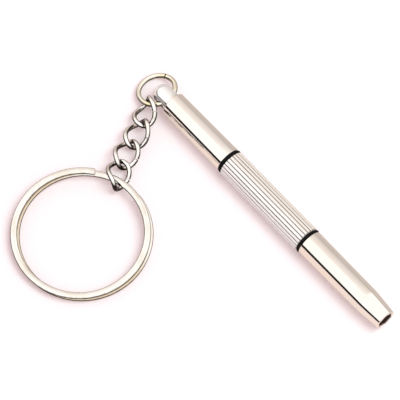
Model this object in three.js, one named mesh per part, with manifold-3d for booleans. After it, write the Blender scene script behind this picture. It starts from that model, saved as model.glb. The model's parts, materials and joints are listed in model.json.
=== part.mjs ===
// Keychain screwdriver in millimetres, +Z up, lying on a table with +X towards the driver tip.
// A fluted grip carries a bit in each end, and two caps screw over the bits against black sealing rings.
// A jump ring through the domed end of one cap carries a short curb chain and a split ring for keys.

import * as THREE from 'three';
import { mergeVertices } from 'three/addons/utils/BufferGeometryUtils.js';
import Module from 'manifold-3d';

const wasm = await Module();
wasm.setup();

// Clearances
const seatGap = 0.15;
const threadClearance = 0.15;
const bitClearance = 0.15;
const holeClearance = 0.17;
const linkClearance = 0.25;
const tableGap = 0.02;

// Grip: straight flutes all round, a screwed spigot and a bit socket at each end
const gripDiameter = 6.0;
const gripLength = 22.7;
const fluteCount = 24;
const fluteDepth = 0.28;
const fluteShare = 0.42;
const spigotLength = 5.0;
const spigotChamfer = 0.3;

// Sealing rings, flush with the grip
const sealSection = 0.9;

// Bits
const bitDiameter = 2.0;
const bitSeat = 4.0;
const bitReach = 10.5;
const bladeThickness = 0.45;
const bladeTaper = 4.0;
const crossTaper = 2.6;
const crossTipDiameter = 0.8;
const crossFluteRun = 3.2;
const crossFluteTipRadius = 0.16;
const crossFluteWidth = 1.3;

// Both caps
const capStep = 0.1;
const capWaist = 0.1;
const capMouthChamfer = 0.15;
const bitRoom = 0.5;
const endRoom = 0.5;

// Ring cap: barrel, shoulder, and a domed stub with a cross hole
const ringCapBarrel = 17.25;
const shoulderRound = 0.35;
const stubDiameter = 4.3;
const stubLength = 2.75;
const crossHoleInset = 1.45;

// Driver cap: barrel, nose cone and hexagon socket
const driverCapBarrel = 17.3;
const noseLength = 5.4;
const noseDiameter = 4.6;
const noseChamfer = 0.15;
const hexagonAcrossFlats = 3.2;
const hexagonDepth = 5.0;

// Jump ring
const jumpWire = 1.1;
const jumpDiameter = 9.0;
const jumpGap = 0.3;
const jumpGapHeading = 110;
const jumpHangHeading = -71;

// Curb chain, each link twisted between its two ends
const linkWire = 1.0;
const linkLength = 7.4;
const linkWidth = 5.7;
const linkTwist = 50;
const linkButtGap = 0.15;
const linkHeadings = [-54, -70, -66, -52];
const linkRolls = [32, 12, -8, -28];

// Split ring: one flat wire wound twice, with a kink where it climbs from one turn to the other
const splitDiameter = 29.0;
const splitWireWidth = 1.7;
const splitWireThickness = 0.75;
const splitTurnGap = 0.45;
const splitTurnShift = 0.45;
const splitShiftHeading = 48;
const splitWireEdge = 0.26;
const splitKink = 42;
const splitKinkShareAtHook = 0.52;
const splitHeading = -75;
const splitHookSlack = 0.35;

// Facets
const roundSteps = 40;
const arcSteps = 6;
const wireSides = 8;
const linkSteps = 36;
const jumpSteps = 40;
const splitStepsPerTurn = 44;

// Points on which the split ring's gap is measured
const gapParts = 6;
const gapStep = 3;

const gripRadius = gripDiameter / 2;
const bitRadius = bitDiameter / 2;
const bitLength = bitSeat + bitReach;
const spigotRadius = gripRadius - sealSection - seatGap;
const capRadius = gripRadius - capStep;
const capBoreRadius = spigotRadius + threadClearance;
const bitBoreRadius = bitRadius + bitRoom;
const sealSpace = sealSection + 2 * seatGap;
const capBoreDepth = spigotLength - sealSpace + endRoom;
const bitBoreDepth = spigotLength + bitReach - sealSpace + endRoom;
const stubRadius = stubDiameter / 2;
const jumpRadius = (jumpDiameter - jumpWire) / 2;
const axisHeight = gripRadius;
const radians = THREE.MathUtils.degToRad;

// Materials
function nickel(color, roughness) {
  return new THREE.MeshStandardMaterial({ color, roughness, metalness: 1, flatShading: true });
}

function rubber(color) {
  return new THREE.MeshStandardMaterial({ color, roughness: 0.6, metalness: 0, flatShading: true });
}

// Joins shared corners and drops triangles that have shrunk to a line
function welded(geometry) {
  geometry.deleteAttribute('normal');
  geometry.deleteAttribute('uv');
  const merged = mergeVertices(geometry);
  const corners = merged.index.array;
  const kept = [];
  for (let i = 0; i < corners.length; i += 3) {
    const [a, b, c] = [corners[i], corners[i + 1], corners[i + 2]];
    if (a !== b && b !== c && c !== a) {
      kept.push(a, b, c);
    }
  }
  merged.setIndex(kept);
  return merged;
}

function solid(geometry) {
  const closed = welded(geometry);
  return new wasm.Manifold(new wasm.Mesh({
    numProp: 3,
    vertProperties: new Float32Array(closed.attributes.position.array),
    triVerts: new Uint32Array(closed.index.array),
  }));
}

function geometryOf(manifold) {
  const mesh = manifold.getMesh();
  const geometry = new THREE.BufferGeometry();
  geometry.setAttribute('position', new THREE.BufferAttribute(mesh.vertProperties, 3));
  geometry.setIndex(new THREE.BufferAttribute(mesh.triVerts, 1));
  return geometry;
}

// Turns a profile of [along, radius] points about the X axis
function turned(profile, steps = roundSteps) {
  const points = profile.map(([along, radius]) => new THREE.Vector2(radius, along));
  const geometry = new THREE.LatheGeometry(points, steps);
  return geometry.rotateZ(-Math.PI / 2);
}

// Extrudes a shape drawn in the YZ plane along X, starting at the given place
function extrudedAlongX(shape, start, length) {
  const geometry = new THREE.ExtrudeGeometry(shape, { depth: length, bevelEnabled: false });
  geometry.rotateX(Math.PI / 2);
  geometry.rotateZ(Math.PI / 2);
  return geometry.translate(start, 0, 0);
}

function arc(centreAlong, centreRadius, radius, from, to) {
  const points = [];
  for (let step = 0; step <= arcSteps; step += 1) {
    const angle = from + ((to - from) * step) / arcSteps;
    points.push([centreAlong + radius * Math.cos(angle), centreRadius + radius * Math.sin(angle)]);
  }
  return points;
}

// Sweeps a convex section along a curve; the curve gives the outward direction of its own section
function sweptWire(curve, section, steps) {
  const positions = [];
  const corners = [];
  const sides = section.length;
  for (let step = 0; step <= steps; step += 1) {
    const share = step / steps;
    const point = curve.getPoint(share);
    const tangent = curve.getTangent(share);
    const outward = curve.outwardAt(share);
    outward.addScaledVector(tangent, -outward.dot(tangent)).normalize();
    const upward = new THREE.Vector3().crossVectors(tangent, outward);
    for (const [out, up] of section) {
      const corner = point.clone().addScaledVector(outward, out).addScaledVector(upward, up);
      positions.push(corner.x, corner.y, corner.z);
    }
  }
  for (let step = 0; step < steps; step += 1) {
    for (let side = 0; side < sides; side += 1) {
      const next = (side + 1) % sides;
      const here = step * sides;
      const there = here + sides;
      corners.push(here + side, here + next, there + side);
      corners.push(here + next, there + next, there + side);
    }
  }
  const last = steps * sides;
  for (let side = 1; side < sides - 1; side += 1) {
    corners.push(0, side + 1, side);
    corners.push(last, last + side, last + side + 1);
  }
  const geometry = new THREE.BufferGeometry();
  geometry.setAttribute('position', new THREE.Float32BufferAttribute(positions, 3));
  geometry.setIndex(corners);
  return geometry;
}

function roundSection(diameter) {
  const section = [];
  for (let side = 0; side < wireSides; side += 1) {
    const angle = (2 * Math.PI * (side + 0.5)) / wireSides;
    section.push([(diameter / 2) * Math.cos(angle), (diameter / 2) * Math.sin(angle)]);
  }
  return section;
}

function flatSection(width, thickness, edge) {
  const [out, up] = [width / 2, thickness / 2];
  return [
    [out, -up + edge], [out, up - edge], [out - edge, up], [-out + edge, up],
    [-out, up - edge], [-out, -up + edge], [-out + edge, -up], [out - edge, -up],
  ];
}

// Grip
function flutedOutline() {
  const outline = new THREE.Shape();
  const pitch = (2 * Math.PI) / fluteCount;
  const crest = (pitch * (1 - fluteShare)) / 2;
  const root = gripRadius - fluteDepth;
  for (let flute = 0; flute < fluteCount; flute += 1) {
    const middle = flute * pitch;
    const points = [[middle - crest, gripRadius], [middle + crest, gripRadius], [middle + pitch / 2, root]];
    for (const [angle, radius] of points) {
      const [y, z] = [radius * Math.cos(angle), radius * Math.sin(angle)];
      if (outline.curves.length === 0 && outline.currentPoint.length() === 0) {
        outline.moveTo(y, z);
      } else {
        outline.lineTo(y, z);
      }
    }
  }
  outline.closePath();
  return outline;
}

function gripSolid() {
  const end = gripLength + spigotLength;
  const core = solid(turned([
    [-spigotLength, 0],
    [-spigotLength, spigotRadius - spigotChamfer],
    [-spigotLength + spigotChamfer, spigotRadius],
    [end - spigotChamfer, spigotRadius],
    [end, spigotRadius - spigotChamfer],
    [end, 0],
  ]));
  const body = solid(extrudedAlongX(flutedOutline(), 0, gripLength));
  const socketRadius = bitRadius + bitClearance;
  const socketDepth = bitSeat + seatGap;
  const socketAt = (start) => solid(turned([
    [start, 0],
    [start, socketRadius],
    [start + 2 * socketDepth, socketRadius],
    [start + 2 * socketDepth, 0],
  ]));
  return core.add(body)
    .subtract(socketAt(-spigotLength - socketDepth))
    .subtract(socketAt(end - socketDepth));
}

// Sealing ring about the X axis
function sealGeometry() {
  const middle = gripRadius - sealSection / 2;
  const profile = [];
  for (let side = 0; side <= 2 * wireSides; side += 1) {
    const angle = (Math.PI * side) / wireSides;
    profile.push([(sealSection / 2) * Math.cos(angle), middle - (sealSection / 2) * Math.sin(angle)]);
  }
  return welded(turned(profile));
}

// Bits, each from its seat at 0 to its tip
function slottedBit() {
  const shaft = solid(turned([[0, 0], [0, bitRadius], [bitLength, bitRadius], [bitLength, 0]]));
  const beyond = bitDiameter;
  const cheek = new THREE.Shape();
  cheek.moveTo(bitLength - bladeTaper, bitRadius);
  cheek.lineTo(bitLength, bladeThickness / 2);
  cheek.lineTo(bitLength + beyond, bladeThickness / 2);
  cheek.lineTo(bitLength + beyond, beyond);
  cheek.lineTo(bitLength - bladeTaper, beyond);
  cheek.closePath();
  const wedge = new THREE.ExtrudeGeometry(cheek, { depth: 2 * bitDiameter, bevelEnabled: false });
  wedge.translate(0, 0, -bitDiameter);
  const other = wedge.clone().rotateX(Math.PI);
  return shaft.subtract(solid(wedge)).subtract(solid(other));
}

function crossBit() {
  const shaft = solid(turned([
    [0, 0],
    [0, bitRadius],
    [bitLength - crossTaper, bitRadius],
    [bitLength, crossTipDiameter / 2],
    [bitLength, 0],
  ]));
  const groove = new THREE.Shape();
  groove.moveTo(0, 0);
  groove.lineTo(crossFluteWidth, bitDiameter);
  groove.lineTo(-crossFluteWidth, bitDiameter);
  groove.closePath();
  const slope = Math.atan2(bitRadius - crossFluteTipRadius, crossFluteRun);
  let bit = shaft;
  for (let flute = 0; flute < 4; flute += 1) {
    const cutter = extrudedAlongX(groove, -2 * crossFluteRun, 3 * crossFluteRun);
    cutter.rotateY(slope);
    cutter.translate(bitLength, 0, crossFluteTipRadius);
    cutter.rotateX(Math.PI / 4 + (flute * Math.PI) / 2);
    bit = bit.subtract(solid(cutter));
  }
  return bit;
}

// Ring cap, with the dome's centre at 0 and its mouth towards +X
const ringCapMouth = stubLength + ringCapBarrel;
const holeSag = jumpRadius - Math.sqrt(jumpRadius ** 2 - stubRadius ** 2);
const crossHoleRadius = jumpWire / 2 + holeSag / 2 + holeClearance;
const crossHoleAlong = stubLength - crossHoleInset;

function ringCap() {
  const shoulderRadius = capRadius - capWaist;
  const cap = solid(turned([
    ...arc(0, 0, stubRadius, Math.PI, Math.PI / 2),
    [stubLength, stubRadius],
    [stubLength, shoulderRadius - shoulderRound],
    ...arc(stubLength + shoulderRound, shoulderRadius - shoulderRound, shoulderRound, Math.PI, Math.PI / 2),
    [ringCapMouth - capMouthChamfer, capRadius],
    [ringCapMouth, capRadius - capMouthChamfer],
    [ringCapMouth, capBoreRadius],
    [ringCapMouth - capBoreDepth, capBoreRadius],
    [ringCapMouth - capBoreDepth - (capBoreRadius - bitBoreRadius), bitBoreRadius],
    [ringCapMouth - bitBoreDepth, bitBoreRadius],
    [ringCapMouth - bitBoreDepth - bitBoreRadius / 2, 0],
  ]));
  const hole = turned([
    [-stubDiameter, 0],
    [-stubDiameter, crossHoleRadius],
    [stubDiameter, crossHoleRadius],
    [stubDiameter, 0],
  ], roundSteps / 2);
  hole.rotateZ(Math.PI / 2);
  hole.translate(crossHoleAlong, 0, 0);
  return cap.subtract(solid(hole));
}

// Driver cap, with its mouth at 0 and its tip towards +X
const driverCapLength = driverCapBarrel + noseLength;

function driverCap() {
  const noseRadius = noseDiameter / 2;
  const cap = solid(turned([
    [bitBoreDepth + bitBoreRadius / 2, 0],
    [bitBoreDepth, bitBoreRadius],
    [capBoreDepth + (capBoreRadius - bitBoreRadius), bitBoreRadius],
    [capBoreDepth, capBoreRadius],
    [0, capBoreRadius],
    [0, capRadius - capMouthChamfer],
    [capMouthChamfer, capRadius],
    [driverCapBarrel, capRadius - capWaist],
    [driverCapLength - noseChamfer, noseRadius],
    [driverCapLength, noseRadius - noseChamfer],
    [driverCapLength, 0],
  ]));
  const hexagon = new THREE.Shape();
  const cornerRadius = hexagonAcrossFlats / Math.sqrt(3);
  for (let corner = 0; corner < 6; corner += 1) {
    const angle = Math.PI / 2 + (corner * Math.PI) / 3;
    const [y, z] = [cornerRadius * Math.cos(angle), cornerRadius * Math.sin(angle)];
    if (corner === 0) {
      hexagon.moveTo(y, z);
    } else {
      hexagon.lineTo(y, z);
    }
  }
  hexagon.closePath();
  const socket = extrudedAlongX(hexagon, driverCapLength - hexagonDepth, 2 * hexagonDepth);
  return cap.subtract(solid(socket));
}

// Jump ring in its own XY plane, cut through at one heading
class JumpRingCurve extends THREE.Curve {
  getPoint(share) {
    const spare = jumpGap / jumpRadius;
    const angle = radians(jumpGapHeading) + spare / 2 + share * (2 * Math.PI - spare);
    return new THREE.Vector3(jumpRadius * Math.cos(angle), jumpRadius * Math.sin(angle), 0);
  }

  outwardAt(share) {
    return this.getPoint(share).normalize();
  }
}

// Chain link: an oval along X whose plane turns with the twist from its near end to its far end
const linkHalfLength = (linkLength - linkWire) / 2;
const linkHalfWidth = (linkWidth - linkWire) / 2;

function linkPoint(angle, roll) {
  const plane = radians(roll - linkTwist * Math.cos(angle));
  const side = linkHalfWidth * Math.sin(angle);
  return new THREE.Vector3(
    linkHalfLength * Math.cos(angle),
    side * Math.cos(plane),
    side * Math.sin(plane),
  );
}

class LinkCurve extends THREE.Curve {
  getPoint(share) {
    const spare = linkButtGap / linkHalfLength;
    return linkPoint(Math.PI / 2 + spare / 2 + share * (2 * Math.PI - spare), 0);
  }

  outwardAt(share) {
    return this.getPoint(share).normalize();
  }
}

// Height of a link's middle when a link with this roll lies on the table
function linkRestHeight(roll) {
  let lowest = 0;
  for (let step = 0; step < 4 * linkSteps; step += 1) {
    lowest = Math.min(lowest, linkPoint((Math.PI * step) / (2 * linkSteps), roll).z);
  }
  return tableGap + linkWire / 2 - lowest;
}

// Split ring about its own Z axis, with the hooked chain link at -X: the lower turn, set a little aside,
// runs clockwise from its cut end, the wire climbs in the kink, and the upper turn runs on to the other
// cut end
const splitRadius = (splitDiameter - splitWireWidth) / 2;
const splitStack = 2 * splitWireThickness + splitTurnGap;
const splitClimb = splitWireThickness + splitTurnGap;
const splitRun = 2 * Math.PI - radians(splitKink);
const splitStart = Math.PI - (1 - splitKinkShareAtHook) * radians(splitKink);

function splitLevel(kinkShare) {
  return splitClimb * (THREE.MathUtils.smoothstep(kinkShare, 0, 1) - 0.5);
}

function splitShiftAt(kinkShare) {
  const shift = splitTurnShift * (1 - THREE.MathUtils.smoothstep(kinkShare, 0, 1));
  const heading = radians(splitShiftHeading - splitHeading);
  return new THREE.Vector3(shift * Math.cos(heading), shift * Math.sin(heading), 0);
}

class SplitRingCurve extends THREE.Curve {
  turnedAt(share) {
    return share * (2 * splitRun + radians(splitKink));
  }

  getPoint(share) {
    const angle = splitStart - this.turnedAt(share);
    const kinkShare = (this.turnedAt(share) - splitRun) / radians(splitKink);
    return new THREE.Vector3(splitRadius * Math.cos(angle), splitRadius * Math.sin(angle), splitLevel(kinkShare))
      .add(splitShiftAt(kinkShare));
  }

  outwardAt(share) {
    const angle = splitStart - this.turnedAt(share);
    return new THREE.Vector3(Math.cos(angle), Math.sin(angle), 0);
  }
}

// Section with more points on each of its sides
function subdivided(section, parts) {
  return section.flatMap(([out, up], side) => {
    const [nextOut, nextUp] = section[(side + 1) % section.length];
    return Array.from({ length: parts }, (_, part) => [
      out + ((nextOut - out) * part) / parts,
      up + ((nextUp - up) * part) / parts,
    ]);
  });
}

// Least distance between corners of a swept wire that are over half a turn apart along it
function leastGapToItself(geometry, cornersPerTurn) {
  const place = geometry.attributes.position;
  const one = new THREE.Vector3();
  const two = new THREE.Vector3();
  let least = Infinity;
  for (let i = 0; i < place.count; i += 1) {
    one.fromBufferAttribute(place, i);
    for (let j = i + Math.round(cornersPerTurn / 2); j < place.count; j += 1) {
      least = Math.min(least, one.distanceTo(two.fromBufferAttribute(place, j)));
    }
  }
  return least;
}

function piece(name, geometry, material) {
  const mesh = new THREE.Mesh(geometry, material);
  mesh.name = name;
  return mesh;
}

// The driver lies with its axis along X, the dome's centre at 0
const gripStart = ringCapMouth + sealSpace;
const gripEnd = gripStart + gripLength;
const driverCapStart = gripEnd + sealSpace;

const driver = new THREE.Group();
driver.position.set(0, 0, axisHeight);

const ringCapMesh = piece('ring_cap', geometryOf(ringCap()), nickel(0xd9d3cc, 0.12));
const ringCapSeal = piece('ring_cap_seal', sealGeometry(), rubber(0x0d0c0c));
ringCapSeal.position.x = ringCapMouth + sealSpace / 2;
const gripMesh = piece('grip', geometryOf(gripSolid()), nickel(0xcfc7bb, 0.22));
gripMesh.position.x = gripStart;
const slottedBitMesh = piece('slotted_bit', geometryOf(slottedBit()), nickel(0x9c9a96, 0.3));
slottedBitMesh.position.x = gripStart - spigotLength + bitSeat;
slottedBitMesh.rotation.y = Math.PI;
const crossBitMesh = piece('cross_bit', geometryOf(crossBit()), nickel(0x9c9a96, 0.3));
crossBitMesh.position.x = gripEnd + spigotLength - bitSeat;
const driverCapSeal = piece('driver_cap_seal', sealGeometry(), rubber(0x0d0c0c));
driverCapSeal.position.x = gripEnd + sealSpace / 2;
const driverCapMesh = piece('driver_cap', geometryOf(driverCap()), nickel(0xddd7d0, 0.1));
driverCapMesh.position.x = driverCapStart;
driver.add(ringCapMesh, ringCapSeal, gripMesh, slottedBitMesh, crossBitMesh, driverCapSeal, driverCapMesh);

// The jump ring hangs in the cross hole and dips until it meets the table
const jumpReach = jumpRadius - holeSag / 2;
const jumpDip = Math.asin((axisHeight - jumpWire / 2 - tableGap) / (jumpReach + jumpRadius));
const jumpHang = new THREE.Group();
jumpHang.position.set(crossHoleAlong, 0, axisHeight);
jumpHang.rotation.y = -jumpDip;
const jumpRingGeometry = sweptWire(new JumpRingCurve(), roundSection(jumpWire), jumpSteps);
const jumpRing = piece('jump_ring', jumpRingGeometry, nickel(0xb9a888, 0.2));
jumpRing.position.x = -jumpReach;
jumpHang.add(jumpRing);

// The chain runs from knuckle to knuckle, each link on the wire of the one before
const chain = new THREE.Group();
const up = new THREE.Vector3(0, 0, 1);
const restHeights = linkRolls.map(linkRestHeight);
const linkCount = linkRolls.length;
const hangHeading = radians(jumpHangHeading);
const jumpAngle = Math.atan2(Math.sin(hangHeading), Math.cos(hangHeading) / Math.cos(jumpDip));
jumpHang.updateMatrixWorld(true);
const firstKnuckle = new THREE.Vector3(jumpRadius * Math.cos(jumpAngle), jumpRadius * Math.sin(jumpAngle), 0)
  .applyMatrix4(jumpRing.matrixWorld);
const knuckleHeights = [firstKnuckle.z, 2 * restHeights[0] - firstKnuckle.z];
for (let link = 1; link < linkCount - 1; link += 1) {
  knuckleHeights.push((restHeights[link] + restHeights[link + 1]) / 2);
}
knuckleHeights.push(2 * restHeights[linkCount - 1] - knuckleHeights[linkCount - 1]);

const linkGeometry = sweptWire(new LinkCurve(), roundSection(linkWire), linkSteps);
let hangOn = firstKnuckle;
let nearInset = (jumpWire + linkWire) / 2 + linkClearance;
let linkWay = null;
let linkMiddle = null;
for (let link = 0; link < linkCount; link += 1) {
  const reach = 2 * linkHalfLength - nearInset;
  const rise = (knuckleHeights[link + 1] - hangOn.z) / reach;
  const run = Math.sqrt(1 - rise ** 2);
  const heading = radians(linkHeadings[link]);
  linkWay = new THREE.Vector3(run * Math.cos(heading), run * Math.sin(heading), rise);
  linkMiddle = hangOn.clone().addScaledVector(linkWay, linkHalfLength - nearInset);
  const side = new THREE.Vector3().crossVectors(up, linkWay).normalize();
  const top = new THREE.Vector3().crossVectors(linkWay, side);
  const mesh = piece(`chain_link_${link + 1}`, linkGeometry, nickel(0xc9c1b6, 0.18));
  mesh.position.copy(linkMiddle);
  mesh.quaternion.setFromRotationMatrix(new THREE.Matrix4().makeBasis(linkWay, side, top));
  mesh.rotateX(radians(linkRolls[link]));
  chain.add(mesh);
  hangOn = linkMiddle.clone().addScaledVector(linkWay, linkHalfLength);
  nearInset = linkWire + linkClearance;
}

// The split ring lies on the table, raised at the kink where the last link holds it
const splitMiddle = splitRadius - splitShiftAt(splitKinkShareAtHook).x;
const splitInner = splitMiddle - splitWireWidth / 2;
const hookAlong = linkHalfLength - linkWire / 2 - splitHookSlack;
const hook = linkMiddle.clone().addScaledVector(linkWay, hookAlong);
const bandHeight = linkMiddle.z + linkWay.z * (hookAlong - splitWireWidth / 2);
const splitWay = radians(splitHeading);
const tiltRun = splitMiddle + splitDiameter / 2 + splitShiftAt(0).x;
const tiltDrop = splitLevel(splitKinkShareAtHook) + splitStack / 2;
const splitTilt = Math.asin((bandHeight - tableGap) / Math.hypot(tiltRun, tiltDrop)) - Math.atan2(tiltDrop, tiltRun);
const splitHang = new THREE.Group();
splitHang.position.set(
  hook.x + splitInner * Math.cos(splitWay),
  hook.y + splitInner * Math.sin(splitWay),
  tableGap + (splitDiameter / 2) * Math.sin(splitTilt) + (splitStack / 2) * Math.cos(splitTilt),
);
splitHang.rotation.z = splitWay;
const splitSection = flatSection(splitWireWidth, splitWireThickness, splitWireEdge);
const splitGeometry = sweptWire(new SplitRingCurve(), splitSection, 2 * splitStepsPerTurn);
const splitRing = piece('split_ring', splitGeometry, nickel(0xcfc9c1, 0.2));
splitRing.rotation.y = splitTilt;
splitHang.add(splitRing);
const gapSection = subdivided(splitSection, gapParts);
const gapSteps = Math.round((2 * splitRun + radians(splitKink)) / radians(gapStep));
const gapGeometry = sweptWire(new SplitRingCurve(), gapSection, gapSteps);
const turnGap = leastGapToItself(gapGeometry, (gapSteps / 2) * gapSection.length);
console.log(`split ring: least gap between its turns ${turnGap.toFixed(3)} mm`);

// Origin at the middle of the box, on the table
const screwdriver = new THREE.Group();
screwdriver.add(driver, jumpHang, chain, splitHang);
screwdriver.updateMatrixWorld(true);
const box = new THREE.Box3().setFromObject(screwdriver, true);
screwdriver.position.set(-(box.min.x + box.max.x) / 2, -(box.min.y + box.max.y) / 2, -box.min.z);

export default screwdriver;
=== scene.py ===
# %% [markdown]
# # A keychain screwdriver in polished nickel
# The object is a slim pocket screwdriver on a key ring. A fluted grip carries a bit in each end, two
# caps screw over the bits against black sealing rings, and a jump ring, four curb links and a split
# ring hang from one cap. The CAD model is loaded first and fixes every place and size. This script
# then makes each piece again as a fine mesh with its own finish, and lights it as in a small studio.

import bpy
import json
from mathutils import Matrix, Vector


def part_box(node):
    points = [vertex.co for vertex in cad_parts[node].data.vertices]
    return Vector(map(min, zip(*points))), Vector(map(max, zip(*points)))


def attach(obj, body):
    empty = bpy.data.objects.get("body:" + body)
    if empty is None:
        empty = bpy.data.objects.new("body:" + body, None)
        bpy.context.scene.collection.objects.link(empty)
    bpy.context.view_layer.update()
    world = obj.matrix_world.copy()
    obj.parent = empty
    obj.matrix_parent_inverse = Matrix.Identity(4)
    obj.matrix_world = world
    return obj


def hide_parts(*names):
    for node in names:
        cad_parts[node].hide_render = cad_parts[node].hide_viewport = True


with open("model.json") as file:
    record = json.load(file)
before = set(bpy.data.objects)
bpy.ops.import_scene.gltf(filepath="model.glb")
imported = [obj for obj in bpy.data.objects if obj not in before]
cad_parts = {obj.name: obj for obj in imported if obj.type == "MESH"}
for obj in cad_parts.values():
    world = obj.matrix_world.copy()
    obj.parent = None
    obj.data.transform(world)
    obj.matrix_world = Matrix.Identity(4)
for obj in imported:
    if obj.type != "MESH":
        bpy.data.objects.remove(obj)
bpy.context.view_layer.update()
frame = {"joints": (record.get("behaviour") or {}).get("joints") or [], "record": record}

# %% Imports and units
import json
import math

import bmesh
import bpy
import numpy as np
from mathutils import Vector

mm = 0.001
turn = 2 * math.pi
joint_at = {joint["name"]: joint for joint in frame["joints"]}


def place_of(joint):
    return np.array(joint_at[joint]["pos_m"])


def axis_of(joint):
    return np.array(joint_at[joint]["axis"])


print(len(joint_at), "joints in the frame")

# %% [markdown]
# ## Camera
# The photograph looks down on the table from the side of the hexagon tip. A long lens keeps the tool
# as straight and even as it is there. The dome of the ring cap is put on its pixel, and the azimuth
# and the scale then bring the tip to its own.

# %% Camera
picture_size = 400
dome_pixel = (163.5, 94.5)
pixels_per_mm = 4.80
camera_azimuth = math.radians(48.31)
camera_elevation = math.radians(66)
camera_lens = 300
camera_sensor = 36

cap_low, cap_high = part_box("ring_cap")
axis_y = (cap_low.y + cap_high.y) / 2
axis_z = (cap_low.z + cap_high.z) / 2
stub_radius = 2.15 * mm
dome_x = cap_low.x + stub_radius

look_back = Vector((
    math.sin(camera_azimuth) * math.cos(camera_elevation),
    -math.cos(camera_azimuth) * math.cos(camera_elevation),
    math.sin(camera_elevation),
))
look_right = Vector((math.cos(camera_azimuth), math.sin(camera_azimuth), 0))
look_up = look_back.cross(look_right)
step_right = (picture_size / 2 - dome_pixel[0]) / pixels_per_mm * mm
step_down = (picture_size / 2 - dome_pixel[1]) / pixels_per_mm * mm
aim = Vector((dome_x, axis_y, axis_z)) + look_right * step_right - look_up * step_down
camera_distance = camera_lens / camera_sensor * picture_size / pixels_per_mm * mm

camera_data = bpy.data.cameras.new("camera")
camera_data.lens = camera_lens
camera_data.sensor_width = camera_sensor
camera_data.clip_end = 20
camera = bpy.data.objects.new("camera", camera_data)
bpy.context.scene.collection.objects.link(camera)
camera.location = aim + look_back * camera_distance
camera.rotation_mode = "QUATERNION"
camera.rotation_quaternion = (-look_back).to_track_quat("-Z", "Y")
bpy.context.scene.camera = camera
print("camera distance in mm", round(camera_distance / mm, 1))

# %% [markdown]
# ## How the meshes are made
# Nearly every piece here was turned on a lathe or bent from wire, so two tools are enough. One skins a
# stack of rings of points, which covers turned barrels, flutes and threads. The other carries a section
# along a path and gives its rings to the first. Corners of a turned profile are rounded by arcs, because
# a polished edge is seen by the thin highlight that runs along it.

# %% Skin a stack of rings
weld_distance = 0.0005 * mm


def finish_mesh(piece, sharp_degrees):
    piece.data.shade_smooth()
    piece.data.set_sharp_from_angle(angle=math.radians(sharp_degrees))


def skinned(name, rings, wrap=False, caps=False, sharp_degrees=32):
    rings = np.asarray(rings, float)
    count, sides, _ = rings.shape
    faces = []
    for ring in range(count if wrap else count - 1):
        here = ring * sides
        there = (ring + 1) % count * sides
        for side in range(sides):
            after = (side + 1) % sides
            faces.append((here + side, here + after, there + after, there + side))
    if caps:
        faces.append(tuple(range(sides)))
        faces.append(tuple(range((count - 1) * sides, count * sides)))
    mesh = bpy.data.meshes.new(name)
    mesh.from_pydata(rings.reshape(-1, 3).tolist(), [], faces)
    solid = bmesh.new()
    solid.from_mesh(mesh)
    bmesh.ops.remove_doubles(solid, verts=solid.verts, dist=weld_distance)
    bmesh.ops.recalc_face_normals(solid, faces=solid.faces)
    solid.to_mesh(mesh)
    solid.free()
    piece = bpy.data.objects.new(name, mesh)
    bpy.context.scene.collection.objects.link(piece)
    finish_mesh(piece, sharp_degrees)
    return piece


# %% Turn a rounded profile about the tool's axis
round_steps = 144
fillet_steps = 6


def rounded(corners):
    """Points of an open outline of (along, radius, fillet) corners in mm, with an arc at each fillet."""
    points = []
    for index, (along, radius, fillet) in enumerate(corners):
        corner = np.array([along, radius], float)
        if fillet == 0 or index in (0, len(corners) - 1):
            points.append(corner)
            continue
        before = np.array(corners[index - 1][:2]) - corner
        after = np.array(corners[index + 1][:2]) - corner
        reach = min(fillet, 0.45 * np.linalg.norm(before), 0.45 * np.linalg.norm(after))
        start = corner + reach * before / np.linalg.norm(before)
        end = corner + reach * after / np.linalg.norm(after)
        for share in np.linspace(0, 1, fillet_steps):
            points.append((1 - share) ** 2 * start + 2 * share * (1 - share) * corner + share ** 2 * end)
    return points


def around(along, radii, angles):
    """A ring about the tool's axis: one radius for each angle, in metres."""
    radii = np.broadcast_to(radii, angles.shape)
    return np.stack([
        np.full(angles.shape, along),
        axis_y + radii * np.cos(angles),
        axis_z + radii * np.sin(angles),
    ], axis=1)


def turned(name, start_x, points, wrap=False, sharp_degrees=32):
    angles = np.arange(round_steps) / round_steps * turn
    rings = [around(start_x + along * mm, radius * mm, angles) for along, radius in points]
    return skinned(name, rings, wrap=wrap, sharp_degrees=sharp_degrees)


# %% Carry a section along a path
def swept(name, path, outward, section, wrap=False, sharp_degrees=32):
    path = np.asarray(path, float)
    tangents = np.gradient(path, axis=0)
    tangents /= np.linalg.norm(tangents, axis=1)[:, None]
    outward = outward - (outward * tangents).sum(1)[:, None] * tangents
    outward /= np.linalg.norm(outward, axis=1)[:, None]
    upward = np.cross(tangents, outward)
    rings = [
        point + np.outer(section[:, 0], out) + np.outer(section[:, 1], up)
        for point, out, up in zip(path, outward, upward)
    ]
    return skinned(name, rings, wrap=wrap, caps=not wrap, sharp_degrees=sharp_degrees)


def round_section(diameter, sides=24):
    angles = np.arange(sides) / sides * turn
    return diameter / 2 * np.stack([np.cos(angles), np.sin(angles)], axis=1)


# %% Cut one piece with another
def cut(piece, cutter, sharp_degrees=32):
    modifier = piece.modifiers.new("cut", "BOOLEAN")
    modifier.operation = "DIFFERENCE"
    modifier.solver = "EXACT"
    modifier.object = cutter
    bpy.context.view_layer.update()
    shaped = piece.evaluated_get(bpy.context.evaluated_depsgraph_get())
    mesh = bpy.data.meshes.new_from_object(shaped)
    piece.modifiers.clear()
    piece.data = mesh
    bpy.data.objects.remove(cutter)
    finish_mesh(piece, sharp_degrees)


# %% [markdown]
# ## Finishes
# A finish could be painted on an image, but a sum of small noise maps has no seams and no resolution. A
# shader is then easiest to read as sums, so the class below wraps one socket, and an operator on it adds a
# Math node. Every other node comes from one method.

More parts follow.
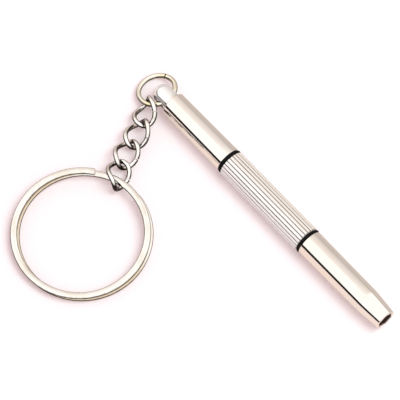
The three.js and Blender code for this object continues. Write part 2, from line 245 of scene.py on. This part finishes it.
# %% A socket that can be added and multiplied
class Term:
    """One socket of a shader, used in Python sums."""

    def __init__(self, tree, socket):
        self.tree = tree
        self.socket = socket

    @classmethod
    def make(cls, tree, kind, settings, sockets, output=0):
        """A new node: its settings first, then its sockets by name or number, as values or links."""
        node = tree.nodes.new(kind)
        for name, value in settings.items():
            setattr(node, name, value)
        for name, value in sockets.items():
            if isinstance(value, Term):
                tree.links.new(value.socket, node.inputs[name])
            else:
                node.inputs[name].default_value = value
        return cls(tree, node.outputs[output])

    def math(self, operation, first, second):
        return Term.make(self.tree, "ShaderNodeMath", {"operation": operation}, {0: first, 1: second})

    def __add__(self, other):
        return self.math("ADD", self, other)

    def __radd__(self, other):
        return self.math("ADD", other, self)

    def __sub__(self, other):
        return self.math("SUBTRACT", self, other)

    def __rsub__(self, other):
        return self.math("SUBTRACT", other, self)

    def __mul__(self, other):
        return self.math("MULTIPLY", self, other)

    def __rmul__(self, other):
        return self.math("MULTIPLY", other, self)

    def between(self, low, high):
        """0 below low, 1 above high and smooth between them."""
        sockets = {"Value": self, "From Min": low, "From Max": high}
        return Term.make(self.tree, "ShaderNodeMapRange", {"interpolation_type": "SMOOTHSTEP"}, sockets)

    def blend(self, first, second):
        """The first colour where this is 0 and the second where it is 1."""
        sockets = {0: self}
        for place, color in ((6, first), (7, second)):
            sockets[place] = color if isinstance(color, Term) else (*color, 1)
        return Term.make(self.tree, "ShaderNodeMix", {"data_type": "RGBA"}, sockets, 2)

    def size(self):
        """The value without its sign."""
        return self.math("ABSOLUTE", self, 0.0)

    def part(self, axis):
        return Term.make(self.tree, "ShaderNodeSeparateXYZ", {}, {"Vector": self}, axis)


# %% One material
class Finish:
    """A material: the maps that its finish is made of, and the shader that they feed."""

    def __init__(self, name):
        self.material = bpy.data.materials.new(name)
        self.material.use_nodes = True
        self.tree = self.material.node_tree
        self.shader = self.tree.nodes["Principled BSDF"]
        self.place = self.make("ShaderNodeTexCoord", {}, {}, "Object")
        self.facing = self.make("ShaderNodeTexCoord", {}, {}, "Normal")

    def make(self, kind, settings, sockets, output=0):
        return Term.make(self.tree, kind, settings, sockets, output)

    def vector(self, operation, first, second=(0, 0, 0), output="Vector"):
        sockets = {0: first, 1: second}
        return self.make("ShaderNodeVectorMath", {"operation": operation}, sockets, output)

    def noise(self, per_mm, detail=2, stretch=(1, 1, 1)):
        scale = [share * per_mm / mm for share in stretch]
        place = self.vector("MULTIPLY", self.place, scale)
        return self.make("ShaderNodeTexNoise", {}, {"Vector": place, "Scale": 1.0, "Detail": detail})

    def set(self, **values):
        for name, value in values.items():
            socket = self.shader.inputs[name.replace("_", " ")]
            if isinstance(value, Term):
                self.tree.links.new(value.socket, socket)
            else:
                socket.default_value = value

    def bump(self, height, strength, distance):
        sockets = {"Height": height, "Strength": strength, "Distance": distance}
        self.set(Normal=self.make("ShaderNodeBump", {}, sockets))


# %% [markdown]
# Nickel plate is never one colour. It is a little warmer in some places, it has hairlines from the polishing
# wheel and a few specks, and the bores, which no wheel reaches, stay dull and are painted dark brown as
# shade. One noise map serves for each of these, and the bore is found by its distance from the tool's axis.
# The domed stub is painted whiter as a painted highlight, and is made rougher and less like a mirror.

# %% Polished nickel
inside_radius = 2.2 * mm
bore_edge = 0.05 * mm
# Where the painted highlight on the domed stub fades out.
dome_highlight_end = [dome_x + 1.6 * mm, dome_x + 3 * mm]


def axis_distance(finish):
    """Distance of the surface from the tool's axis."""
    arm = finish.vector("SUBTRACT", finish.place, (0, axis_y, axis_z))
    arm = finish.vector("MULTIPLY", arm, (0, 1, 1))
    return finish.vector("LENGTH", arm, output="Value")


def polished_nickel(name, bore_from, bore_to):
    """Polished nickel plate, dull and painted dark as shade in the bores between two places along the tool.
    """
    finish = Finish(name)
    along = finish.place.part("X")
    past_end = along.between(bore_to - bore_edge, bore_to)
    bored = along.between(bore_from, bore_from + bore_edge) * (1 - past_end)
    inside = bored * (1 - axis_distance(finish).between(inside_radius, inside_radius + bore_edge))
    cloud = finish.noise(0.16).between(0.35, 0.7)
    specks = finish.noise(9, detail=4).between(0.66, 0.8)
    lathe_lines = finish.noise(0.6, detail=3, stretch=(14, 1, 1))
    plate = cloud.blend((0.95, 0.92, 0.89), (0.94, 0.89, 0.84))
    # The stub near the dome is painted whiter, a painted highlight, with a rougher and less mirror-like
    # finish.
    dome_highlight = 1 - along.between(*dome_highlight_end)
    plate = dome_highlight.blend(plate, (0.97, 0.965, 0.96))
    # In the bores the near-black brown is painted shade, and the plate there is duller.
    finish.set(
        Base_Color=inside.blend(plate, (0.06, 0.035, 0.03)),
        Metallic=1.0 - 0.7 * inside - 0.3 * dome_highlight,
        Roughness=0.035 + 0.03 * lathe_lines + 0.06 * specks + 0.45 * inside + 0.04 * dome_highlight,
    )
    finish.bump(lathe_lines, 0.05, 0.003 * mm)
    return finish.material


driver_low, driver_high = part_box("driver_cap")
solid_stub = 3.5 * mm
past_mouth = 1 * mm
tip_rim = 0.08 * mm
ring_cap_nickel = polished_nickel("ring_cap_nickel", dome_x + solid_stub, cap_high.x + past_mouth)
driver_cap_nickel = polished_nickel("driver_cap_nickel", driver_low.x - past_mouth, driver_high.x - tip_rim)
print("finishes", ring_cap_nickel.name, driver_cap_nickel.name)


# %% [markdown]
# Wire is drawn, bent and then plated in a barrel with many other pieces. Its flats are painted bright and its
# flanks painted dark brown, as painted light and shade that follow the way that the surface faces. A little
# yellow shows in patches. The split ring's lower turn is painted tan as shade, apart from its part towards
# the back, which keeps the plate's colour.

# %% Wire nickel
split_face = next(mount for mount in frame["record"]["mounts"] if mount["name"] == "split_ring_face")
split_normal = np.array(split_face["axis"])
split_thickness = 0.75 * mm
split_turn_gap = 0.45 * mm
turn_edge = 0.1 * mm
# Across the table, the span over which the lower turn's painted shade gives way to the plate.
unshaded_span = (-9 * mm, -3 * mm)
between_turns = np.array(split_face["pos_m"]) - (split_thickness + split_turn_gap / 2) * split_normal


def wire_nickel(name, lit_facing_range, bright, yellow, flank, lower=None):
    """Plated wire with painted light: it brightens between the two values of how far it faces up or down.

    Below them it is painted dark as shade. A wound ring has a painted shade as one more colour, for its lower
    turn.
    """
    finish = Finish(name)
    # Painted light and shade: bright where the wire faces up or down, dark where it faces sideways.
    up = finish.facing.part("Z").size()
    shade_wobble = finish.noise(1.1, detail=3)
    painted_lit_share = (up + 0.3 * (shade_wobble - 0.5)).between(*lit_facing_range)
    patches = finish.noise(0.28).between(0.42, 0.68)
    drawn = finish.noise(7, detail=3)
    plate = patches.blend(bright, yellow)
    # The lower turn is painted a tan shade, except in its part towards the back.
    if lower:
        arm = finish.vector("SUBTRACT", finish.place, between_turns)
        height = finish.vector("DOT_PRODUCT", arm, split_normal, "Value")
        unshaded = finish.place.part("Y").between(*unshaded_span)
        upper = height.between(-turn_edge, turn_edge)
        plate = (upper + unshaded - upper * unshaded).blend(lower, plate)
    finish.set(
        Base_Color=painted_lit_share.blend(flank, plate),
        Metallic=1.0,
        Roughness=0.16 - 0.1 * painted_lit_share + 0.06 * drawn,
    )
    finish.bump(drawn, 0.06, 0.006 * mm)
    return finish.material


# Each list holds the plate, its yellow patches and the flank's painted shade; the split ring's fourth is the
# painted shade of its lower turn.
chain_colors = [(0.99, 0.97, 0.94), (0.97, 0.93, 0.87), (0.03, 0.02, 0.016)]
jump_colors = [(0.93, 0.90, 0.82), (0.90, 0.80, 0.52), (0.08, 0.055, 0.04)]
split_colors = [(0.93, 0.91, 0.88), (0.88, 0.83, 0.76), (0.05, 0.036, 0.028), (0.70, 0.60, 0.47)]
chain_nickel = wire_nickel("chain_nickel", (0.5, 0.92), *chain_colors)
jump_nickel = wire_nickel("jump_ring_nickel", (0.34, 0.84), *jump_colors)
split_nickel = wire_nickel("split_ring_nickel", (0.5, 0.95), *split_colors)
print("finishes", chain_nickel.name, jump_nickel.name, split_nickel.name)

# %% [markdown]
# The grip is plated over pressed flutes and is satin, not bright. The bottoms of the flutes are painted dark
# as shade, so the colour follows the distance from the axis. Along a middle strip across the width that
# painted shade is weaker, and the far side is painted a darker tan as shade. Ground steel shows the lines of
# the wheel, and rubber is dull with a little dust on it.

# %% Grip nickel
grip_radius = 3.0 * mm
flute_depth = 0.26 * mm
# The middle strip across the grip's width, where the painted groove shade is weaker.
middle_strip_near = [axis_y - 2.2 * mm, axis_y - 0.4 * mm]
middle_strip_far = [axis_y + 0.4 * mm, axis_y + 1.6 * mm]
# Over this span the far side of the grip is painted a darker tan as shade.
far_side_edge = [axis_y - 1.6 * mm, axis_y + 1.2 * mm]


def grooved_nickel(name, radius, groove_depth):
    """Plate on a grooved round piece, with painted shade in its grooves and none on its end faces."""
    finish = Finish(name)
    above_root = axis_distance(finish) - (radius - groove_depth)
    end_face = finish.facing.part("X").size().between(0.75, 0.9)
    depth = (1 - above_root.between(0.4 * groove_depth, 0.98 * groove_depth)) * (1 - end_face)
    cloud = finish.noise(0.4).between(0.35, 0.7)
    wear = finish.noise(1.4, detail=4, stretch=(0.2, 1, 1))
    across = finish.place.part("Y")
    # Along this middle strip the painted groove shade is weaker and the plate more metallic.
    middle_strip = across.between(*middle_strip_near) * (1 - across.between(*middle_strip_far))
    # Painted shade in the bottoms of the flutes, weaker along the middle strip.
    painted_groove_shade = depth * (0.8 + wear) * (1 - 0.55 * middle_strip)
    crest = cloud.blend((0.98, 0.965, 0.95), (0.97, 0.95, 0.925))
    # The far side is painted a darker tan: painted shade.
    far_side_shade = across.between(*far_side_edge)
    crest = far_side_shade.blend(crest, (0.80, 0.74, 0.67))
    finish.set(
        Base_Color=painted_groove_shade.blend(crest, (0.13, 0.105, 0.09)),
        Metallic=0.1 + 0.25 * middle_strip,
        Roughness=0.32 + 0.15 * painted_groove_shade + 0.1 * wear,
    )
    finish.bump(wear, 0.1, 0.01 * mm)
    return finish.material


# %% Ground steel and black rubber
def ground_steel():
    finish = Finish("ground_steel")
    lines = finish.noise(1.0, detail=4, stretch=(16, 2, 2))
    finish.set(
        Base_Color=lines.between(0.3, 0.7).blend((0.52, 0.51, 0.49), (0.66, 0.65, 0.63)),
        Metallic=1.0,
        Roughness=0.24 + 0.14 * lines,
    )
    finish.bump(lines, 0.2, 0.01 * mm)
    return finish.material


def black_rubber():
    finish = Finish("black_rubber")
    grain = finish.noise(14, detail=4)
    dust = finish.noise(3, detail=5).between(0.6, 0.85)
    finish.set(
        Base_Color=dust.blend((0.004, 0.0035, 0.0035), (0.02, 0.018, 0.018)),
        Roughness=0.6 + 0.2 * grain,
        Specular_IOR_Level=0.15,
    )
    finish.bump(grain, 0.25, 0.02 * mm)
    return finish.material


fluted = grooved_nickel("grip_nickel", grip_radius, flute_depth)
steel = ground_steel()
rubber = black_rubber()
print("finishes", fluted.name, steel.name, rubber.name)


# %% [markdown]
# ## How a piece joins the frame
# Each piece gets its finish, rides on the body that it moves with, and takes the place of the plain CAD solid
# that it was made from. One helper does all three, so none is forgotten.

# %% Dress a piece
def dress(piece, material, body, slot, *nodes):
    piece.data.materials.clear()
    piece.data.materials.append(material)
    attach(piece, body)
    if nodes:
        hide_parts(*nodes)
    print(piece.name, len(piece.data.polygons), "faces on", body)
    return piece


# %% [markdown]
# ## Ring cap
# The cap was turned from bar: a long barrel, a rounded shoulder and a domed stub that is drilled across
# for the jump ring. It could be built from a cylinder and a sphere, but one profile turned about the axis
# gives all of it without a seam, with the bore and its thread on the inside of the same profile. The cross
# hole is then cut, as the drill does it.

# %% Ring cap
cap_radius = 2.9
cap_waist = 0.1
stub_length = 2.75
cap_bore = 2.1
bit_bore = 1.5
thread_depth = 0.2
thread_pitch = 0.7
bore_depth = 4.3
bit_depth = 14.8
mouth_chamfer = 0.15
lip = 0.19


def bore_profile(direction, mouth):
    """Inside of a cap from its mouth to the blind end, with rings for the thread, in mm."""
    corners = [(mouth, cap_bore + mouth_chamfer, 0), (mouth + direction * mouth_chamfer, cap_bore, 0)]
    place = 2 * mouth_chamfer
    while place + thread_pitch < bore_depth:
        corners.append((mouth + direction * place, cap_bore, 0))
        corners.append((mouth + direction * (place + thread_pitch / 2), cap_bore + thread_depth, 0))
        place += thread_pitch
    corners.append((mouth + direction * place, cap_bore, 0))
    corners.append((mouth + direction * bore_depth, cap_bore, 0))
    corners.append((mouth + direction * (bore_depth + cap_bore - bit_bore), bit_bore, 0))
    corners.append((mouth + direction * bit_depth, bit_bore, 0))
    corners.append((mouth + direction * (bit_depth + bit_bore / 2), 0, 0))
    return corners


def dome(radius, steps=16):
    angles = np.linspace(math.pi, math.pi / 2, steps)
    return [(radius * math.cos(angle), max(radius * math.sin(angle), 0)) for angle in angles]


ring_mouth = (cap_high.x - dome_x) / mm
shoulder = cap_radius - cap_waist
ring_cap_profile = dome(stub_radius / mm) + rounded([
    (0.3, stub_radius / mm, 0),
    (stub_length, stub_radius / mm, 0.2),
    (stub_length, shoulder, 0.45),
    (ring_mouth + lip, cap_radius, 0.12),
    *bore_profile(-1, ring_mouth + lip),
])
ring_cap = turned("ring_cap_shell", dome_x, ring_cap_profile)

hole_radius = 1.0 * mm
hole_sides = 48
hole_place = place_of("jump_ring_swing")
hole_angles = np.arange(hole_sides) / hole_sides * turn
drill = skinned("drill", [
    np.stack([
        hole_place[0] + hole_radius * np.cos(hole_angles),
        np.full(hole_sides, hole_place[1] + side * 2 * stub_radius),
        hole_place[2] + hole_radius * np.sin(hole_angles),
    ], axis=1)
    for side in (-1, 1)
], caps=True)
cut(ring_cap, drill)
dress(ring_cap, ring_cap_nickel, "ring_cap", "polished_nickel", "ring_cap")

# %% [markdown]
# ## Driver cap
# It has the same barrel and bore, then a nose cone that ends in a flat rim round a hexagon socket. The rim
# starts as a closed face in the profile, and a six-sided cutter with a flared end takes the socket and its
# chamfer out in one cut, much as the broach does.

# %% Driver cap
driver_length = (driver_high.x - driver_low.x) / mm
driver_barrel = 17.3
nose_radius = 2.3
socket_flats = 3.2
socket_depth = 5.0
socket_chamfer = 0.18

driver_profile = [(driver_length, 0)] + rounded([
    (driver_length, nose_radius - 0.4, 0),
    (driver_length, nose_radius, 0.2),
    (driver_barrel, cap_radius - cap_waist, 0.7),
    (-lip, cap_radius, 0.12),
    *bore_profile(1, -lip),
])
driver_cap = turned("driver_cap_shell", driver_low.x, driver_profile)


def hexagon(along, across_flats):
    angles = math.pi / 2 + np.arange(6) / 6 * turn
    return around(along, across_flats / math.sqrt(3), angles)


socket_floor = driver_high.x - socket_depth * mm
cut(driver_cap, skinned("broach", [
    hexagon(socket_floor, socket_flats * mm),
    hexagon(driver_high.x - socket_chamfer * mm, socket_flats * mm),
    hexagon(driver_high.x + socket_chamfer * mm, (socket_flats + 4 * socket_chamfer) * mm),
], caps=True))
dress(driver_cap, driver_cap_nickel, "driver_cap", "polished_nickel", "driver_cap")

# %% [markdown]
# ## Sealing rings
# Two black rubber rings are squeezed between the caps and the grip. A torus would do for a loose ring, but
# one that is squeezed is flattened on its two sides, so its section is turned about the axis instead.

# %% Sealing rings
seal_squeeze = 0.76
seal_flatness = 0.8
for body in ("ring_cap_seal", "driver_cap_seal"):
    seal_low, seal_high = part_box(body)
    section = (seal_high.x - seal_low.x) / 2 / mm
    middle = (seal_high.z - seal_low.z) / 2 / mm - section
    angles = np.linspace(0, turn, 40, endpoint=False)
    flank = np.sign(np.cos(angles)) * np.abs(np.cos(angles)) ** seal_flatness
    profile = list(zip(section + seal_squeeze * section * flank, middle + section * np.sin(angles)))
    seal = turned(body + "_ring", seal_low.x, profile, wrap=True, sharp_degrees=60)
    dress(seal, rubber, body, "black_rubber", body)

# %% [markdown]
# ## Grip
# Straight flutes run from seal to seal. Each flute is a shallow vee pressed between flat crests, so one
# outline with a few points for each flute is carried along the axis, and its ends are chamfered. The two
# spigots get a helical thread: the radius follows the distance along the screw.

# %% Fluted barrel
flute_count = 24
flute_share = 0.34
root_round = 0.1
end_chamfer = 0.22 * mm
barrel_core = 1.2 * mm
seal_gap = 0.15 * mm
barrel_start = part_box("ring_cap_seal")[1].x + seal_gap - lip * mm
barrel_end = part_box("driver_cap_seal")[0].x - seal_gap + lip * mm


def flute_outline():
    """Angle and depth of the outline, flute by flute."""
    pitch = turn / flute_count
    half = pitch * flute_share / 2
    angles = []
    depths = []
    for flute in range(flute_count):
        middle = (flute + 0.5) * pitch
        for share in np.linspace(-1.25, 1.25, 15):
            angles.append(middle + share * half)
            depths.append(max(0.0, 1 - math.hypot(share, root_round)))
        angles.append(middle + pitch / 2)
        depths.append(0.0)
    return np.array(angles), np.array(depths)


outline_angles, outline_depths = flute_outline()
fluted_radii = grip_radius - flute_depth * outline_depths
barrel_rings = []
for along, limit in (
    (barrel_start, barrel_core),
    (barrel_start, grip_radius - end_chamfer),
    (barrel_start + end_chamfer / 2, grip_radius),
    (barrel_end - end_chamfer / 2, grip_radius),
    (barrel_end, grip_radius - end_chamfer),
    (barrel_end, barrel_core),
):
    barrel_rings.append(around(along, np.minimum(fluted_radii, limit), outline_angles))
barrel = skinned("grip_barrel", barrel_rings, caps=True, sharp_degrees=24)
dress(barrel, fluted, "grip", "grip_nickel", "grip")

# %% [markdown]
# The spigots are hidden until a cap is pulled off. A bump map could fake their thread, but its outline would
# stay straight, so the thread is cut into the mesh.

# %% Threaded spigots
spigot_radius = 1.95 * mm
screw_depth = 0.22 * mm
grip_low, grip_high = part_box("grip")
bit_radius = 1.0 * mm
bit_room = 0.15 * mm
bit_seat = 4.0 * mm
thread_relief = 1.4 * mm
run_out = 0.3 * mm
crest_share = 1.4
spigot_sides = 72
steps_per_turn = 8
threaded = grooved_nickel("thread_nickel", spigot_radius, screw_depth)


def spigot(name, inner, outer):
    """Threaded spigot from the barrel at inner to its end at outer, with the bit's socket in it."""
    angles = np.arange(spigot_sides) / spigot_sides * turn
    way = math.copysign(1, outer - inner)
    length = abs(outer - inner)
    rings = [around(inner, bit_radius, angles)]
    for along in np.arange(0, length + 0.01 * mm, thread_pitch * mm / steps_per_turn):
        phase = (along / (thread_pitch * mm) - way * angles / turn) % 1
        crest = 1 - np.abs(2 * phase - 1)
        fade = min(1, max(0, (along - thread_relief) / run_out))
        radii = spigot_radius - screw_depth + screw_depth * np.minimum(1, crest_share * crest) * fade
        limit = spigot_radius - max(0, along - length + run_out)
        rings.append(around(inner + way * along, np.minimum(radii, limit), angles))
    rings.append(around(outer, bit_radius + bit_room + mouth_chamfer * mm, angles))
    rings.append(around(outer - way * mouth_chamfer * mm, bit_radius + bit_room, angles))
    rings.append(around(outer - way * bit_seat, bit_radius + bit_room, angles))
    rings.append(around(outer - way * bit_seat, 0, angles))
    piece = skinned(name, rings, sharp_degrees=40)
    return dress(piece, threaded, "grip", "grip_nickel")


spigot("ring_end_spigot", barrel_start, grip_low.x)
spigot("driver_end_spigot", barrel_end, grip_high.x)

# %% [markdown]
# ## Bits
# Both bits are hidden under the caps and show only when a cap is pulled off. Each starts as a turned blank.
# The slotted blade is then ground hollow on two sides, and the cross bit gets four milled flutes. The cutters
# are made and taken away here in the same order as on the machine.

# %% Slotted bit
blade_half = 0.225
blade_run = 4.0
blade_hollow = 0.12
wheel_clearance = 0.01
wheel_reach = 3.0
wheel_half_width = 2
past_tip = 1 * mm


def bit_blank(name, seat, tip, tip_radius, taper):
    way = math.copysign(1, tip - seat)
    length = abs(tip - seat) / mm
    corners = rounded([
        (0, 0, 0),
        (0, bit_radius / mm, 0.1),
        (length - taper, bit_radius / mm, 0.2),
        (length, tip_radius, 0.08),
        (length, 0, 0),
    ])
    return turned(name, seat, [(way * along, radius) for along, radius in corners])


slotted_low, slotted_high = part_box("slotted_bit")
slotted = bit_blank("slotted_bit_blade", slotted_high.x, slotted_low.x, bit_radius / mm, 1.0)
for side in (-1, 1):
    blade_end = slotted_low.x + blade_run * mm
    wedge = [
        (slotted_low.x - past_tip, blade_half),
        (slotted_low.x, blade_half),
        (slotted_low.x + blade_run * mm * 0.5, 0.5 * (blade_half + bit_radius / mm) - blade_hollow),
        (blade_end, bit_radius / mm + wheel_clearance),
        (blade_end, wheel_reach),
        (slotted_low.x - past_tip, wheel_reach),
    ]
    ends = [
        [(x, axis_y + side * height * mm, axis_z + across * mm) for x, height in wedge]
        for across in (-wheel_half_width, wheel_half_width)
    ]
    cut(slotted, skinned("grinding", ends, caps=True))
dress(slotted, steel, "grip", "tool_steel", "slotted_bit")

# %% Cross bit
cross_low, cross_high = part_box("cross_bit")
cross_taper = 2.6
cross_tip = 0.4
flute_run = 3.2
flute_tip_radius = 0.16
flute_width = 1.3
mill_reach = 2
mill_over = 1.0
cross = bit_blank("cross_bit_tip", cross_low.x, cross_high.x, cross_tip, cross_taper)
slope = (bit_radius / mm - flute_tip_radius) / flute_run
for flute in range(4):
    heading = turn / 8 + flute * turn / 4
    out = np.array([0, math.cos(heading), math.sin(heading)])
    across = np.array([0, -math.sin(heading), math.cos(heading)])
    ends = []
    for along in (mill_over, -2 * flute_run):
        bottom = np.array([cross_high.x + along * mm, axis_y, axis_z])
        bottom = bottom + out * (flute_tip_radius - slope * along) * mm
        ends.append([
            bottom,
            bottom + (mill_reach * out + flute_width * across) * mm,
            bottom + (mill_reach * out - flute_width * across) * mm,
        ])
    cut(cross, skinned("milling", ends, caps=True))
dress(cross, steel, "grip", "tool_steel", "cross_bit")

# %% [markdown]
# ## Jump ring
# A round wire is bent into a ring, with a fine cut where its ends meet. A torus has no such cut, so a round
# section is carried along an arc that stops short of a full turn. The ring lies in the plane that holds its
# middle, the cross hole and the width of the tool.

# %% Jump ring
jump_wire = 1.06 * mm
jump_radius = 3.92 * mm
jump_gap = 0.3 * mm
jump_gap_heading = math.radians(110)
jump_low, jump_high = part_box("jump_ring")
jump_centre = np.array([(jump_low.x + jump_high.x) / 2, axis_y, (jump_low.z + jump_high.z) / 2])
jump_way = (hole_place - jump_centre) * np.array([1, 0, 1])
jump_way /= np.linalg.norm(jump_way)
jump_side = np.array([0.0, 1.0, 0.0])
spare = jump_gap / jump_radius
headings = jump_gap_heading + spare / 2 + np.linspace(0, 1, 161) * (turn - spare)
jump_out = np.outer(np.cos(headings), jump_way) + np.outer(np.sin(headings), jump_side)
jump_ring = swept("jump_ring_wire", jump_centre + jump_radius * jump_out, jump_out, round_section(jump_wire))
dress(jump_ring, jump_nickel, "jump_ring", "jump_ring_nickel", "jump_ring")

# %% [markdown]
# ## Curb chain
# Each link is an oval of wire that is twisted along its length, so that the chain lies flat. A flat oval
# could be made and then twisted by a modifier, but here the twist is part of the path, so the section stays
# round. A link's place comes from the two joints that it hangs between, and its roll from the direction of
# the wire at the far one.

# %% Chain links
link_wire = 1.0 * mm
link_half_length = 3.2 * mm
link_half_width = 2.35 * mm
link_twist = math.radians(50)
link_gap = 0.15 * mm
link_names = ["chain_link_1", "chain_link_2", "chain_link_3", "chain_link_4"]
joints_along = [name + "_swing" for name in link_names] + ["split_ring_swing"]


def link_frame(index):
    """Middle, way and the two cross directions of a link before its twist."""
    near = place_of(joints_along[index])
    far = place_of(joints_along[index + 1])
    way = (far - near) / np.linalg.norm(far - near)
    grain = axis_of(joints_along[index + 1])
    grain = grain - grain.dot(way) * way
    grain /= np.linalg.norm(grain)
    normal = np.cross(way, grain)
    side = math.cos(link_twist) * grain + math.sin(link_twist) * normal
    return far - link_half_length * way, way, side, np.cross(way, side)


def link(index):
    middle, way, side, top = link_frame(index)
    spare_angle = link_gap / link_half_length
    angles = turn / 4 + spare_angle / 2 + np.linspace(0, 1, 121) * (turn - spare_angle)
    plane = -link_twist * np.cos(angles)
    across = link_half_width * np.sin(angles)
    out = (
        np.outer(link_half_length * np.cos(angles), way)
        + np.outer(across * np.cos(plane), side)
        + np.outer(across * np.sin(plane), top)
    )
    name = link_names[index]
    piece = swept(name + "_wire", middle + out, out, round_section(link_wire, 20))
    return dress(piece, chain_nickel, name, "chain_nickel", name)


for index in range(len(link_names)):
    link(index)

# %% [markdown]
# ## Split ring
# One flat wire is wound twice, with a kink where it climbs from the lower turn to the upper. Two rings with a
# bridge between them would show seams, so the whole wire is one path with a smooth climb. The lower turn is
# set a little aside, so its edge shows inside the upper one on one side and outside it on the other.

# %% Split ring
split_width = 1.46 * mm
split_roundness = 2.2
split_radius = 13.75 * mm
split_mount_radius = 13.65 * mm
split_shift = 0.45 * mm
split_heading = math.radians(-75)
split_shift_heading = math.radians(48) - split_heading
split_kink = math.radians(42)
split_kink_share = 0.52


def flat_section(sides=32):
    """Rolled wire, about twice as wide as it is high, with round edges."""
    angles = np.arange(sides) / sides * turn
    power = 2 / split_roundness
    out = np.sign(np.cos(angles)) * np.abs(np.cos(angles)) ** power
    up = np.sign(np.sin(angles)) * np.abs(np.sin(angles)) ** power
    return np.stack([split_width / 2 * out, split_thickness / 2 * up], axis=1)


split_way = np.array([math.cos(split_heading), math.sin(split_heading), 0])
split_way -= split_way.dot(split_normal) * split_normal
split_way /= np.linalg.norm(split_way)
split_side = np.cross(split_normal, split_way)
split_climb = split_thickness + split_turn_gap
split_centre = np.array(split_face["pos_m"]) - split_mount_radius * split_way
split_centre -= (split_climb + split_thickness) / 2 * split_normal
split_run = turn - split_kink
wound = np.linspace(0, 1, 401) * (2 * split_run + split_kink)
kink_place = np.clip((wound - split_run) / split_kink, 0, 1)
rise = kink_place ** 2 * (3 - 2 * kink_place)
split_angles = math.pi - (1 - split_kink_share) * split_kink - wound
split_out = np.outer(np.cos(split_angles), split_way) + np.outer(np.sin(split_angles), split_side)
aside = math.cos(split_shift_heading) * split_way + math.sin(split_shift_heading) * split_side
split_path = (
    split_centre
    + split_radius * split_out
    + np.outer(split_shift * (1 - rise), aside)
    + np.outer(split_climb * (rise - 0.5), split_normal)
)
split_ring = swept("split_ring_wire", split_path, split_out, flat_section())
dress(split_ring, split_nickel, "split_ring", "split_ring_nickel", "split_ring")

# %% [markdown]
# ## Table and light
# The table is plain white and keeps a soft shadow that is a little pink. Its own glow lifts it to white, so
# that no more light has to fall on the tool. In metal it shows darker and warmer than the camera sees it.

# %% Table
floor_mesh = bpy.data.meshes.new("table")
floor_half = 3.0
floor_mesh.from_pydata(
    [(-floor_half, -floor_half, 0), (floor_half, -floor_half, 0),
     (floor_half, floor_half, 0), (-floor_half, floor_half, 0)], [], [(0, 1, 2, 3)])
table = bpy.data.objects.new("table", floor_mesh)
bpy.context.scene.collection.objects.link(table)
table_clearance = 0.02 * mm
table.location.z = -table_clearance
table_finish = Finish("white_table")
seen = table_finish.make("ShaderNodeLightPath", {}, {}, "Is Camera Ray")
mirrored = table_finish.make("ShaderNodeLightPath", {}, {}, "Is Glossy Ray")
away = table_finish.vector("LENGTH", table_finish.place, output="Value").between(70 * mm, 250 * mm)
shown_glow = away.blend((0.25, 0.17, 0.18), (0.42, 0.51, 0.50))
nearer = 1 - table_finish.place.part("Y").between(axis_y, axis_y + 8 * mm)
mirror_glow = nearer.blend((0, 0, 0), (0.24, 0.235, 0.225))
mirror_base = nearer.blend((0.52, 0.475, 0.43), (0.60, 0.48, 0.43))
table_finish.set(
    Base_Color=mirrored.blend((0.75, 0.75, 0.75), mirror_base),
    Roughness=0.9,
    Specular_IOR_Level=0.0,
    Emission_Color=mirrored.blend(seen.blend((0, 0, 0), shown_glow), mirror_glow),
    Emission_Strength=1.0,
)
floor_mesh.materials.append(table_finish.material)
print("table", 2 * floor_half, "m across")

# %% [markdown]
# A polished tube shows the room rather than itself, so the room matters most. It could be built from white
# cards, but a world that depends on the direction is simpler to set: bright and a little warm above, greyer
# behind, with one dark strip low in front that draws the crisp line along the caps. The camera sees white.

# %% Room
world = bpy.data.worlds.new("studio")
bpy.context.scene.world = world
world.use_nodes = True
room = world.node_tree


def room_node(kind, output):
    return Term.make(room, kind, {}, {}, output)


def sine(degrees):
    return math.sin(math.radians(degrees))


direction = room_node("ShaderNodeTexCoord", "Generated")
height = direction.part("Z")
sideways = direction.part("Y")
endways = direction.part("X")
band_edge = 0.015
band_top = sine(21)
under_top = 1 - height.between(band_top - band_edge, band_top + band_edge)
low_band = height.between(sine(0.5), sine(2)) * under_top
over_grip = 1 - endways.between(-0.27, -0.16)
back = sideways.between(0.0, 0.45) * over_grip
far_back = sideways.between(0.45, 0.95) * over_grip
in_front = 1 - sideways.between(-0.55, -0.1)
upper = back.blend((1.15, 1.13, 1.09), (0.93, 0.85, 0.79))
upper = far_back.blend(upper, (0.72, 0.66, 0.62))
band = in_front.blend((0.60, 0.53, 0.48), (0.02, 0.015, 0.013))
mirror_room = low_band.blend(upper, band)
soft_room = room_node("ShaderNodeLightPath", "Is Glossy Ray").blend((0.78, 0.66, 0.67), mirror_room)
shown_room = room_node("ShaderNodeLightPath", "Is Camera Ray").blend(soft_room, (1, 1, 1))
room.links.new(shown_room.socket, room.nodes["Background"].inputs["Color"])
print("room of", len(room.nodes), "nodes")

# %% [markdown]
# One broad lamp stands for the window. It gives the shadow its side, and metal doesn't show it, because the
# room already holds all that should be seen there.

# %% Lamp
lamp_data = bpy.data.lights.new("window", "AREA")
lamp_data.shape = "RECTANGLE"
lamp_data.size = 0.5
lamp_data.size_y = 0.5
lamp_data.energy = 3.75
lamp_data.color = (0.86, 1.0, 1.0)
lamp = bpy.data.objects.new("window", lamp_data)
bpy.context.scene.collection.objects.link(lamp)
lamp.location = (0.25, 0.2, 0.7)
lamp.rotation_mode = "QUATERNION"
lamp.rotation_quaternion = lamp.location.to_track_quat("Z", "Y")
lamp.visible_glossy = False
print("lamp of", lamp_data.energy, "W at", tuple(round(x, 2) for x in lamp.location))

bpy.context.scene.view_settings.view_transform = "Standard"
